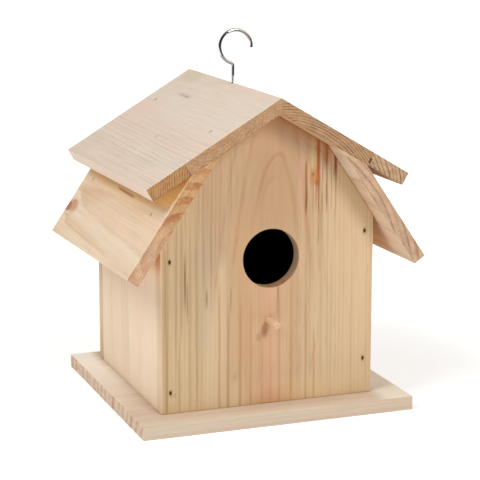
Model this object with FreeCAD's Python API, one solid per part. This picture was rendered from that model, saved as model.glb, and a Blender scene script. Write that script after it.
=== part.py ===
import FreeCAD, Part
import math
import os

# Wooden birdhouse with a two-pitch (gambrel) roof, hung by a steel screw hook.
# Millimetres.  +Z is up, -Y is the front with the entrance, +X is to the right
# when the front is seen.  The origin lies on the underside of the base, below
# the ridge, half way between the outer faces of the front and back panels.

V = FreeCAD.Vector

LEFT = -1
RIGHT = 1
FRONT = -1
BACK = 1

# ---- driving dimensions ----
BOARD = 12.0                # thickness of the panels and of the base
ROOF_BOARD = 11.5           # thickness of the roof boards
HOUSE_WIDTH = 190.0         # over the side panels
HOUSE_DEPTH = 186.0         # over the front and back panels

BASE_WIDTH = 242.0
BASE_SHIFT = 2.5            # the base sits this far to the right of the house
BASE_FRONT = 25.0           # how far the base stands out in front
BASE_BACK = 18.0            # and behind

RIDGE_HEIGHT = 274.7        # top of the ridge above the ground
UPPER_PITCH = 30.6          # degrees below the horizontal
UPPER_LENGTH = 133.0        # ridge to eave, down the slope
UPPER_GLUE_LINE = 96.0      # the staves of an upper board meet here
LOWER_PITCH = 55.7
LOWER_EAVE_X = 131.2        # outer bottom edge of a lower board
LOWER_EAVE_Z = 135.4
ROOF_FRONT = 26.5           # how far the roof stands out in front
ROOF_BACK = 18.0            # and behind
UPPER_LEFT_SKEW = 3.5       # the left boards are cut a little out of square,
LOWER_LEFT_SKEW = 5.0       # so that they are longer at the back

ENTRANCE_RADIUS = 25.0
ENTRANCE_X = 2.0
ENTRANCE_Z = 137.5

PERCH_RADIUS = 3.0
PERCH_Z = 84.5
PERCH_REACH = 20.0          # what stands out of the front panel
PERCH_DEPTH = 10.0          # what is glued into it

WIRE_RADIUS = 1.5
HOOK_Y = -6.2
HOOK_RING_RADIUS = 14.4     # to the middle of the wire
HOOK_RING_X = 2.5
HOOK_RING_Z = 305.5
HOOK_TIP_ANGLE = -3.0       # degrees, where the open end of the ring stops
HOOK_BEND_RADIUS = 3.0
THREAD_TOP = 281.0
THREAD_BOTTOM = 262.0
THREAD_PITCH = 2.2
THREAD_ROOT_RADIUS = 1.05
POINT_LENGTH = 4.0
SCREW_CLEARANCE = 0.05

NAIL_LENGTH = 30.0
NAIL_WIDTH = 1.2            # the wire of a brad is a small rectangle
NAIL_THICKNESS = 1.0
NAIL_HEAD_LENGTH = 2.0
NAIL_HEAD_DEPTH = 0.8
NAIL_SINK = 0.4             # the heads are driven below the wood

# Nails of the front panel: which side, and how high.
FRONT_NAILS = [(LEFT, 30.0), (LEFT, 141.0), (RIGHT, 43.0), (RIGHT, 155.0)]
BACK_NAILS = [(LEFT, 38.0), (LEFT, 150.0), (RIGHT, 38.0), (RIGHT, 150.0)]
PANEL_NAIL_INSET = 8.0
# Nails of the roof, measured down the slope from the ridge, or up from the eave.
UPPER_FRONT_NAIL = 57.0
UPPER_BACK_NAIL = 47.0
LOWER_NAIL = 54.7
BASE_NAIL_X = 60.0
BASE_NAIL_Y = 40.0

# ---- worked out from them ----
HALF_WIDTH = HOUSE_WIDTH / 2
HALF_DEPTH = HOUSE_DEPTH / 2
ROOF_Y0 = -HALF_DEPTH - ROOF_FRONT
ROOF_Y1 = HALF_DEPTH + ROOF_BACK
UPPER = math.radians(UPPER_PITCH)
LOWER = math.radians(LOWER_PITCH)
RIDGE = (0.0, RIDGE_HEIGHT)
# Heights at x = 0 of the lines under the upper boards and inside the lower ones.
UPPER_UNDERSIDE = RIDGE_HEIGHT - ROOF_BOARD / math.cos(UPPER)
LOWER_INSIDE = LOWER_EAVE_Z + LOWER_EAVE_X * math.tan(LOWER) - ROOF_BOARD / math.cos(LOWER)
LONG = 400.0                # longer than anything that it has to cut


def upper_underside(x):
    """Height of the underside of an upper roof board."""
    return UPPER_UNDERSIDE - abs(x) * math.tan(UPPER)


def lower_inside(x):
    """Height of the inner face of a lower roof board."""
    return LOWER_INSIDE - abs(x) * math.tan(LOWER)


# Where the inner face of a lower board meets the underside of an upper one.
KNEE_X = (LOWER_INSIDE - UPPER_UNDERSIDE) / (math.tan(LOWER) - math.tan(UPPER))


def prism(outline, y0, y1):
    """Solid with the given (x, z) outline, from y0 to y1."""
    corners = [V(x, y0, z) for x, z in outline]
    face = Part.Face(Part.makePolygon(corners + corners[:1]))
    return face.extrude(V(0, y1 - y0, 0))


def slope_axes(side, pitch):
    """Unit vectors of a roof board: down the slope, and into the wood."""
    down = V(side * math.cos(pitch), 0, -math.sin(pitch))
    inward = V(-side * math.sin(pitch), 0, -math.cos(pitch))
    return down, inward


def on_slope(side, pitch, origin, along, y):
    """Point of a board's outer face, 'along' its slope from the (x, z) origin."""
    down, inward = slope_axes(side, pitch)
    return V(side * origin[0], y, origin[1]) + down * along


def sloped_board(side, pitch, origin, top, bottom_front, bottom_back):
    """Roof board between two distances down the slope, the lower one at each end."""
    plan = [
        on_slope(side, pitch, origin, top, ROOF_Y0),
        on_slope(side, pitch, origin, bottom_front, ROOF_Y0),
        on_slope(side, pitch, origin, bottom_back, ROOF_Y1),
        on_slope(side, pitch, origin, top, ROOF_Y1),
    ]
    face = Part.Face(Part.makePolygon(plan + plan[:1]))
    down, inward = slope_axes(side, pitch)
    return face.extrude(inward * ROOF_BOARD)


def right_of_ridge(side):
    """Everything past the plane in which the upper boards are mitred together."""
    x0 = 0 if side == LEFT else -LONG
    return Part.makeBox(LONG, 2 * LONG, 2 * LONG, V(x0, -LONG, -LONG))


def above_upper_underside(side):
    """Everything above the underside of the upper board."""
    outline = [
        (0, UPPER_UNDERSIDE),
        (side * LONG, upper_underside(LONG)),
        (side * LONG, LONG),
        (0, LONG),
    ]
    return prism(outline, -LONG, LONG)


def nail_parts(head, direction, across, sink):
    """Boxes of one nail: 'head' is a point of the wood's face, 'across' the long way."""
    side_way = direction.cross(across)

    def block(start, length, width, thickness):
        corner = head + direction * start - across * (width / 2) - side_way * (thickness / 2)
        matrix = FreeCAD.Matrix(
            across.x, side_way.x, direction.x, corner.x,
            across.y, side_way.y, direction.y, corner.y,
            across.z, side_way.z, direction.z, corner.z,
            0, 0, 0, 1)
        box = Part.makeBox(width, thickness, length)
        box.Placement = FreeCAD.Placement(matrix)
        return box

    top = block(sink, NAIL_HEAD_DEPTH + NAIL_SINK - sink, NAIL_HEAD_LENGTH, NAIL_WIDTH)
    shank = block(NAIL_SINK + NAIL_HEAD_DEPTH, NAIL_LENGTH, NAIL_WIDTH, NAIL_THICKNESS)
    return top.fuse(shank).removeSplitter()


class NailRow:
    """The nails that hold one board, and the pockets that they make in the wood."""

    def __init__(self):
        self.nails = []
        self.pockets = []

    def drive(self, head, direction, across):
        self.nails.append(nail_parts(head, direction, across, NAIL_SINK))
        self.pockets.append(nail_parts(head, direction, across, 0.0))


def base_board():
    left = BASE_SHIFT - BASE_WIDTH / 2
    y0 = -HALF_DEPTH - BASE_FRONT
    depth = HOUSE_DEPTH + BASE_FRONT + BASE_BACK
    return Part.makeBox(BASE_WIDTH, depth, BOARD, V(left, y0, 0))


def gable_panel(end):
    """Front or back panel: as wide as the house, up to the underside of the roof."""
    outline = [
        (-HALF_WIDTH, BOARD),
        (HALF_WIDTH, BOARD),
        (HALF_WIDTH, lower_inside(HALF_WIDTH)),
        (KNEE_X, upper_underside(KNEE_X)),
        (0, UPPER_UNDERSIDE),
        (-KNEE_X, upper_underside(KNEE_X)),
        (-HALF_WIDTH, lower_inside(HALF_WIDTH)),
    ]
    outer = end * HALF_DEPTH
    return prism(outline, outer, outer - end * BOARD)


def round_bar(radius, x, y, z, length):
    """Cylinder that runs along +Y from the given point."""
    return Part.makeCylinder(radius, length, V(x, y, z), V(0, 1, 0))


def front_panel():
    panel = gable_panel(FRONT)
    entrance = round_bar(ENTRANCE_RADIUS, ENTRANCE_X, -LONG, ENTRANCE_Z, LONG)
    socket = round_bar(PERCH_RADIUS, 0, -HALF_DEPTH, PERCH_Z, PERCH_DEPTH)
    return panel.cut(entrance).cut(socket)


def perch_dowel():
    length = PERCH_REACH + PERCH_DEPTH
    rod = round_bar(PERCH_RADIUS, 0, -HALF_DEPTH - PERCH_REACH, PERCH_Z, length)
    free_end = [e for e in rod.Edges if abs(e.CenterOfMass.y + HALF_DEPTH + PERCH_REACH) < 0.01]
    return rod.makeChamfer(0.4, free_end[:1])


def side_stave(side, end):
    """One of the two staves glued edge to edge into a side panel."""
    inner = HALF_WIDTH - BOARD
    outline = [
        (side * HALF_WIDTH, BOARD),
        (side * HALF_WIDTH, lower_inside(HALF_WIDTH)),
        (side * inner, lower_inside(inner)),
        (side * inner, BOARD),
    ]
    return prism(outline, 0, end * (HALF_DEPTH - BOARD))


def upper_ridge_stave(side):
    stave = sloped_board(side, UPPER, RIDGE, -ROOF_BOARD, UPPER_GLUE_LINE, UPPER_GLUE_LINE)
    radius = WIRE_RADIUS + SCREW_CLEARANCE
    bore = Part.makeCylinder(radius, LONG, V(0, HOOK_Y, 0), V(0, 0, 1))
    return stave.cut(right_of_ridge(side)).cut(bore)


def upper_eave_stave(side):
    skew = UPPER_LEFT_SKEW if side == LEFT else 0.0
    return sloped_board(side, UPPER, RIDGE, UPPER_GLUE_LINE, UPPER_LENGTH, UPPER_LENGTH + skew)


def lower_board(side):
    skew = LOWER_LEFT_SKEW if side == LEFT else 0.0
    eave = (LOWER_EAVE_X, LOWER_EAVE_Z)
    board = sloped_board(side, LOWER, eave, -HOUSE_WIDTH, 0.0, skew)
    return board.cut(above_upper_underside(side))


def ring_point(radius, degrees):
    angle = math.radians(degrees)
    return V(HOOK_RING_X + radius * math.cos(angle), HOOK_Y, HOOK_RING_Z + radius * math.sin(angle))


def hook_path():
    """Middle line of the wire: the ring, the reverse bend and the straight shank."""
    bend_x = -HOOK_BEND_RADIUS
    reach = HOOK_RING_RADIUS + HOOK_BEND_RADIUS
    run = bend_x - HOOK_RING_X
    drop = math.sqrt(reach ** 2 - run ** 2)
    bend_z = HOOK_RING_Z - drop
    joint_angle = 180.0 + math.degrees(math.atan2(drop, -run))
    ring = Part.Arc(
        ring_point(HOOK_RING_RADIUS, HOOK_TIP_ANGLE),
        ring_point(HOOK_RING_RADIUS, (HOOK_TIP_ANGLE + joint_angle) / 2),
        ring_point(HOOK_RING_RADIUS, joint_angle))
    middle = math.radians((joint_angle - 180.0) / 2)
    bend = Part.Arc(
        ring_point(HOOK_RING_RADIUS, joint_angle),
        V(bend_x + HOOK_BEND_RADIUS * math.cos(middle), HOOK_Y,
          bend_z + HOOK_BEND_RADIUS * math.sin(middle)),
        V(0, HOOK_Y, bend_z))
    shank = Part.LineSegment(V(0, HOOK_Y, bend_z), V(0, HOOK_Y, THREAD_TOP))
    return Part.Wire([ring.toShape(), bend.toShape(), shank.toShape()])


def hook_thread():
    """Threaded end and point, with each turn of the thread as a ring."""
    outline = [(0.0, THREAD_TOP), (WIRE_RADIUS, THREAD_TOP)]
    turns = int((THREAD_TOP - THREAD_BOTTOM - POINT_LENGTH) / THREAD_PITCH)
    for turn in range(turns):
        top = THREAD_TOP - turn * THREAD_PITCH
        outline.append((WIRE_RADIUS, top - 0.10 * THREAD_PITCH))
        outline.append((THREAD_ROOT_RADIUS, top - 0.40 * THREAD_PITCH))
        outline.append((THREAD_ROOT_RADIUS, top - 0.70 * THREAD_PITCH))
        outline.append((WIRE_RADIUS, top - THREAD_PITCH))
    outline.append((THREAD_ROOT_RADIUS, THREAD_BOTTOM + POINT_LENGTH))
    outline.append((0.0, THREAD_BOTTOM))
    corners = [V(radius, HOOK_Y, z) for radius, z in outline]
    face = Part.Face(Part.makePolygon(corners + corners[:1]))
    return face.revolve(V(0, HOOK_Y, 0), V(0, 0, 1), 360)


def screw_hook():
    path = hook_path()
    start = ring_point(HOOK_RING_RADIUS, HOOK_TIP_ANGLE)
    tangent = path.Edges[0].tangentAt(path.Edges[0].FirstParameter)
    section = Part.Wire(Part.makeCircle(WIRE_RADIUS, start, tangent))
    wire = path.makePipeShell([section], True, True)
    return wire.fuse(hook_thread()).removeSplitter()


def panel_nails(end, places):
    """Nails through the front or back panel into the edges of the side panels."""
    row = NailRow()
    for side, height in places:
        head = V(side * (HALF_WIDTH - PANEL_NAIL_INSET), end * HALF_DEPTH, height)
        row.drive(head, V(0, -end, 0), V(0, 0, 1))
    return row


def roof_nails(side, pitch, origin, front_place, back_place):
    """One nail into the front panel and one into the back panel."""
    down, inward = slope_axes(side, pitch)
    row = NailRow()
    for end, place in ((FRONT, front_place), (BACK, back_place)):
        y = end * (HALF_DEPTH - BOARD / 2)
        row.drive(on_slope(side, pitch, origin, place, y), inward, down)
    return row


def base_nails():
    """Nails up through the base into all four walls."""
    row = NailRow()
    middle_x = HALF_WIDTH - BOARD / 2
    middle_y = HALF_DEPTH - BOARD / 2
    for sx in (LEFT, RIGHT):
        for sy in (FRONT, BACK):
            row.drive(V(sx * BASE_NAIL_X, sy * middle_y, 0), V(0, 0, 1), V(1, 0, 0))
            row.drive(V(sx * middle_x, sy * BASE_NAIL_Y, 0), V(0, 0, 1), V(0, 1, 0))
    return row


def main():
    eave = (LOWER_EAVE_X, LOWER_EAVE_Z)
    fasteners = {
        "base_nails": base_nails(),
        "front_panel_nails": panel_nails(FRONT, FRONT_NAILS),
        "back_panel_nails": panel_nails(BACK, BACK_NAILS),
        "upper_left_roof_nails": roof_nails(LEFT, UPPER, RIDGE, UPPER_FRONT_NAIL, UPPER_BACK_NAIL),
        "upper_right_roof_nails": roof_nails(RIGHT, UPPER, RIDGE, UPPER_FRONT_NAIL, UPPER_BACK_NAIL),
        "lower_left_roof_nails": roof_nails(LEFT, LOWER, eave, -LOWER_NAIL, -LOWER_NAIL),
        "lower_right_roof_nails": roof_nails(RIGHT, LOWER, eave, -LOWER_NAIL, -LOWER_NAIL),
    }
    boards = {
        "base_board": base_board(),
        "front_panel": front_panel(),
        "back_panel": gable_panel(BACK),
        "left_side_front_stave": side_stave(LEFT, FRONT),
        "left_side_back_stave": side_stave(LEFT, BACK),
        "right_side_front_stave": side_stave(RIGHT, FRONT),
        "right_side_back_stave": side_stave(RIGHT, BACK),
        "upper_left_ridge_stave": upper_ridge_stave(LEFT),
        "upper_left_eave_stave": upper_eave_stave(LEFT),
        "upper_right_ridge_stave": upper_ridge_stave(RIGHT),
        "upper_right_eave_stave": upper_eave_stave(RIGHT),
        "lower_left_roof_board": lower_board(LEFT),
        "lower_right_roof_board": lower_board(RIGHT),
    }
    pockets = Part.makeCompound([p for row in fasteners.values() for p in row.pockets])
    nodes = {name: board.cut(pockets) for name, board in boards.items()}
    nodes["perch_dowel"] = perch_dowel()
    nodes["screw_hook"] = screw_hook()
    for name, row in fasteners.items():
        nodes[name] = Part.makeCompound(row.nails)

    os.makedirs("parts", exist_ok=True)
    for name, shape in nodes.items():
        shape.exportStep("parts/" + name + ".step")


main()
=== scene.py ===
import math
from dataclasses import dataclass, field
from functools import reduce

import bmesh
import bpy
from mathutils import Matrix, Vector, noise


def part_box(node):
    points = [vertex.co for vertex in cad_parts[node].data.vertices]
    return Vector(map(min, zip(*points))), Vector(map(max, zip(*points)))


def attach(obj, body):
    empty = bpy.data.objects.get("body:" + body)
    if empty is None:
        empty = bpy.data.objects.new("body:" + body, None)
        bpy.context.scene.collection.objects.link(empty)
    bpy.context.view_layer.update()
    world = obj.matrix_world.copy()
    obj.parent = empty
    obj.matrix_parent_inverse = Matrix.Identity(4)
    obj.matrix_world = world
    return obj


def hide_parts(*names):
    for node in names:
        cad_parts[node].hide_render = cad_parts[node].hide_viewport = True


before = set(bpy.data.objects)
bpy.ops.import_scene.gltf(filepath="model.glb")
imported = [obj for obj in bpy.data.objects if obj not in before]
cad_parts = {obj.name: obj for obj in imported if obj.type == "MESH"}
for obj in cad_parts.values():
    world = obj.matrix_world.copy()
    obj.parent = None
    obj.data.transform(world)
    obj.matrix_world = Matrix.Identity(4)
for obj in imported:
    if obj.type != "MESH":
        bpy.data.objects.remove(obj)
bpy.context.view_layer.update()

MM = 0.001

# ---- view, in the shared frame: where the camera looks from and what it looks at ----
VIEW_AZIMUTH = math.radians(-20.49)
VIEW_ELEVATION = math.radians(12.09)
VIEW_ROLL = math.radians(0.05)
VIEW_DISTANCE = 1.45
VIEW_TARGET = Vector((-0.0007, -0.0260, 0.1398))
LENS = 125.24
SENSOR = 36.0

# ---- the birdhouse, in millimetres, as in the CAD model ----
BOARD = 12.0
ROOF_BOARD = 11.5
HALF_WIDTH = 95.0
HALF_DEPTH = 93.0
RIDGE_HEIGHT = 274.7
UPPER_PITCH = math.radians(30.6)
GLUE_LINE = 96.0  # down the slope of an upper board
LOWER_PITCH = math.radians(55.7)
EAVE_X = 131.2
EAVE_Z = 135.4
ENTRANCE = Vector((2.0, 0.0, 137.5))
ENTRANCE_RADIUS = 25.0
PANEL_NAIL_Y = HALF_DEPTH - BOARD / 2

PERCH_RADIUS = 3.0
PERCH_Z = 84.5
PERCH_FRONT = -113.0
PERCH_BACK = -83.0

WIRE_RADIUS = 1.5
HOOK_Y = -6.2
RING_RADIUS = 14.4
RING_X = 2.5
RING_Z = 305.5
TIP_ANGLE = -3.0
BEND_RADIUS = 3.0
THREAD_TOP = 281.0
THREAD_BOTTOM = 262.0
THREAD_PITCH = 2.2
THREAD_CREST = 1.41  # clear of the bore in the ridge at every angle
THREAD_ROOT = 1.05
POINT_LENGTH = 4.0
POINT_RADIUS = 0.12

UP = Vector((0, 0, 1))
RIGHT = Vector((1, 0, 0))
BACK = Vector((0, 1, 0))
SIDES = ((-1, "left"), (1, "right"))

EASED = 0.6  # rounding of the sawn edges
CELL = 5.0  # size of the faces of a board
WELD = 0.005 * MM  # corners nearer than this are one
IN_PLANE = 0.02 * MM  # an edge nearer than this lies in a plane

# ---- patterns of the wood: waves per millimetre across, outward and along the grain ----
SWAY = (0.010, 0.010, 0.0032)
WAVES = (0.09, 0.09, 0.018)
CLOUDS = (0.035, 0.035, 0.004)
BANDS = (0.33, 0.33, 0.006)
FIBRES = (1.8, 1.8, 0.02)
PORES = (1.0, 1.0, 0.05)
BREAKS = (0.16, 0.16, 0.1)
FADING = (0.03, 0.03, 0.012)
RAGGED = (0.7, 0.7, 0.05)
FAINT = (0.06, 0.06, 0.03)
LUMPS = (0.16, 0.16, 0.12)
TORN = (0.75, 0.75, 0.5)
PATCHES = (0.12, 0.25, 0.12)
SAW_MARKS = (0.9, 1, 1)
RAGGED_BELOW = 1.7  # streaks narrower than this are ragged
SEED_SHIFT = (37.1, 17.3, 53.7)  # how far apart the boards lie in the same wood

# ---- colours of small things, as on the screen ----
GLUE = (52, 28, 14)
NAIL_STAIN = (150, 112, 74)
CRUSHED = (62, 38, 22)
KNOT = (178, 116, 78)
KNOT_RINGS = (118, 66, 38)
RING = (160, 112, 72)

# ---- shader colours and strengths of light ----
# painted shade: darkens the undersides of the roof boards
UNDERSIDE_PAINTED_SHADE = (0.80, 0.66, 0.46, 1)
NEST_DARK = (0.012, 0.009, 0.006, 1)
WHITE = (1, 1, 1, 1)
PAPER = (0.69, 0.70, 0.715, 1)
MIRRORED_ROOM = (0.03, 0.03, 0.03, 1)
WALL_COLOUR = (1.0, 0.94, 0.85, 1)
LAMP_COLOUR = (0.97, 0.985, 1.0)
WALLS = 0.56  # light from the studio all round
DARK_SIDE = 0.10  # the same from the photographer's side
NEAR_GLOW = 0.44  # light from the paper close to the birdhouse
FAR_GLOW = 0.80  # the same further away
SOFTBOX = 1.8  # what the steel mirrors of the softbox
FRONT_SIDE = (-0.20, -0.95, 0.15)
SOFTBOX_SIDE = (0.57, -0.53, 0.64)


# ---- shader helpers ----

class Nodes:
    """Adds shader nodes to a material or world, and gives back their output sockets."""

    def __init__(self, owner):
        self.owner = owner
        owner.use_nodes = True
        self.tree = owner.node_tree
        self.tree.nodes.clear()

    def feed(self, socket, value):
        if isinstance(value, bpy.types.NodeSocket):
            self.tree.links.new(value, socket)
        elif value is not None:
            socket.default_value = value

    def add(self, kind, inputs=(), **settings):
        """New node; inputs gives a value or a link for each input, by name or by number."""
        node = self.tree.nodes.new(kind)
        for key, value in settings.items():
            setattr(node, key, value)
        for key, value in dict(inputs).items():
            self.feed(node.inputs[key], value)
        return node

    def math(self, operation, a, b=None, c=None):
        return self.add("ShaderNodeMath", {0: a, 1: b, 2: c}, operation=operation).outputs[0]

    def total(self, *values):
        return reduce(lambda a, b: self.math("ADD", a, b), values)

    def product(self, *values):
        return reduce(lambda a, b: self.math("MULTIPLY", a, b), values)

    def minus(self, a, b):
        return self.math("SUBTRACT", a, b)

    def vector(self, operation, a, b=None):
        second = "Scale" if operation == "SCALE" else 1
        node = self.add("ShaderNodeVectorMath", {0: a, second: b}, operation=operation)
        return node.outputs["Value" if operation in ("DOT_PRODUCT", "LENGTH") else 0]

    def combine(self, x, y, z):
        return self.add("ShaderNodeCombineXYZ", {0: x, 1: y, 2: z}).outputs[0]

    def length(self, x, y):
        return self.vector("LENGTH", self.combine(x, y, 0.0))

    def separate(self, vector):
        return self.add("ShaderNodeSeparateXYZ", {0: vector}).outputs

    def millimetres(self):
        """Place on the piece in millimetres; every piece has the shared frame's origin."""
        return self.vector("SCALE", self.add("ShaderNodeTexCoord").outputs["Object"], 1 / MM)

    def noise(self, place, scale, detail=2.0, roughness=0.5):
        """Noise of a point, with so many waves in each direction; its value and its colour."""
        waves = self.vector("MULTIPLY", place, scale)
        return self.add("ShaderNodeTexNoise", {
            "Vector": waves, "Scale": 1.0, "Detail": detail, "Roughness": roughness}).outputs

    def drift(self, place, scale, amount):
        """Three slowly changing offsets, each up to about half the amount."""
        colour = self.noise(place, scale)["Color"]
        centred = self.vector("SUBTRACT", colour, (0.5, 0.5, 0.5))
        return self.separate(self.vector("SCALE", centred, amount))

    def smooth(self, value, low, high, to_low=0.0, to_high=1.0):
        """Smooth step between two values."""
        inputs = enumerate((value, low, high, to_low, to_high))
        node = self.add("ShaderNodeMapRange", inputs, interpolation_type="SMOOTHSTEP")
        return node.outputs[0]

    def bell(self, value, centre, width):
        """One at the centre, and nothing further away than the width."""
        return self.smooth(self.math("ABSOLUTE", self.minus(value, centre)), width, 0.0)

    def span(self, value, low, high, soft):
        """One between two values, with soft ends."""
        rise = self.smooth(value, low - soft, low + soft)
        return self.product(rise, self.smooth(value, high + soft, high - soft))

    def ramp(self, value, stops):
        """Grey ramp through (position, level) stops."""
        node = self.add("ShaderNodeValToRGB", {0: value})
        elements = node.color_ramp.elements
        while len(elements) < len(stops):
            elements.new(1.0)
        for element, (position, level) in zip(elements, stops):
            element.position = position
            element.color = (level, level, level, 1)
        return node.outputs[0]

    def mix(self, factor, a, b, blend="MIX"):
        return self.add(
            "ShaderNodeMix", {0: factor, 6: a, 7: b}, data_type="RGBA",
            blend_type=blend).outputs[2]

    def shade(self, colour, level):
        return self.mix(1.0, colour, self.combine(level, level, level), "MULTIPLY")

    def bump(self, height, distance, strength):
        return self.add("ShaderNodeBump", {
            "Strength": strength, "Distance": distance, "Height": height}).outputs[0]

    def surface(self, colour, roughness, normal=None, metallic=0.0, specular=0.5, glow=0.0):
        """Connects the shader to the output, and gives back the material."""
        shader = self.add("ShaderNodeBsdfPrincipled", {
            "Base Color": colour, "Roughness": roughness, "Normal": normal,
            "Metallic": metallic, "Specular IOR Level": specular,
            "Emission Color": WHITE, "Emission Strength": glow})
        self.add("ShaderNodeOutputMaterial", {0: shader.outputs[0]})
        return self.owner


def new_material(name):
    return Nodes(bpy.data.materials.new(name))


def linear(colour):
    """Shader colour for a screen colour given as three numbers from 0 to 255 (sRGB)."""
    def channel(value):
        value /= 255
        return value / 12.92 if value <= 0.04045 else ((value + 0.055) / 1.055) ** 2.4
    return (*(channel(value) for value in colour), 1.0)


# ---- wood ----

@dataclass
class Board:
    """A board's own directions, from a point of its outer face."""
    node: str
    face: Vector
    across: Vector
    outward: Vector
    grain: Vector


@dataclass
class Streak:
    """Band along the grain: its place and half width across, and where it starts and ends."""
    x: float
    width: float
    low: float
    high: float
    colour: tuple
    amount: float
    soft: float = 6.0
    flat: bool = False  # only on the broad faces, not on the edges


@dataclass
class Spot:
    """Oval mark on the face: its middle, its half sizes across and along."""
    x: float
    z: float
    across: float
    along: float
    colour: tuple
    amount: float


@dataclass
class Arch:
    """Ring line that closes in an arch: its top, how fast each leg spreads, where it starts."""
    x: float
    z: float
    left: float
    right: float
    low: float
    width: float
    colour: tuple
    amount: float


@dataclass
class PaintedShadeSlant:
    """Soft band of painted shade along a sloping line from one point of the face to another."""
    start: tuple
    stop: tuple
    width: float
    colour: tuple
    amount: float


@dataclass
class Seam:
    """Glue line across the board at x, seen between two depths below the face."""
    x: float
    width: float
    shallow: float
    deep: float
    amount: float


@dataclass
class Look:
    """How one board's wood looks. Lengths in millimetres, colours as on the screen."""
    seed: float
    pith: tuple = (0, 30)  # the tree's centre: across the board, and below its face
    spacing: float = 3.0  # from one year's ring to the next
    inner_spacing: float = 0.0  # the same near the pith, where the rings are wider
    inner_radius: float = 0.0
    taper: float = 0.02  # how much a ring shrinks per millimetre along the grain
    arch_from: float = 0.0  # where the rings start to close in an arch
    arch_bend: float = 0.0
    wander: float = 6.0
    wobble: float = 1.6  # waves of the ring lines
    years: float = 1.6  # how unequal the rings are
    early: tuple = (226, 201, 175)
    warm: tuple = (224, 194, 165)  # second tone, in long clouds
    line: tuple = (190, 152, 112)
    lines: float = 0.6  # strength of the ring lines on the faces
    lines_at: list = None  # the same across the board: (place, strength) stops
    streaks: float = 1.0
    dashes: float = 0.25
    end: tuple = (186, 146, 108)
    end_line: tuple = (140, 98, 62)
    end_lines: float = 0.6
    speckle: float = 1.0
    marks: list = field(default_factory=list)  # of Streak, Spot, Arch, Slant and Seam
    knots: list = field(default_factory=list)  # (across, along, radius)
    nails: list = field(default_factory=list)  # (across, along)
    nail_stain: float = 1.0
    nails_along: bool = False  # the long way of the nail heads is along the grain
    contact: float = 0.65  # share of open sky below which the shade turns warm
    contact_tint: tuple = (0.80, 0.52, 0.25)
    late_share: float = 0.2  # how much of each ring is the dark late wood, at the ends
    end_wash: tuple = None  # below this place across the ends, a paler colour
    # painted shade on the underside of a roof board
    painted_underside_shade: bool = False


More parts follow.
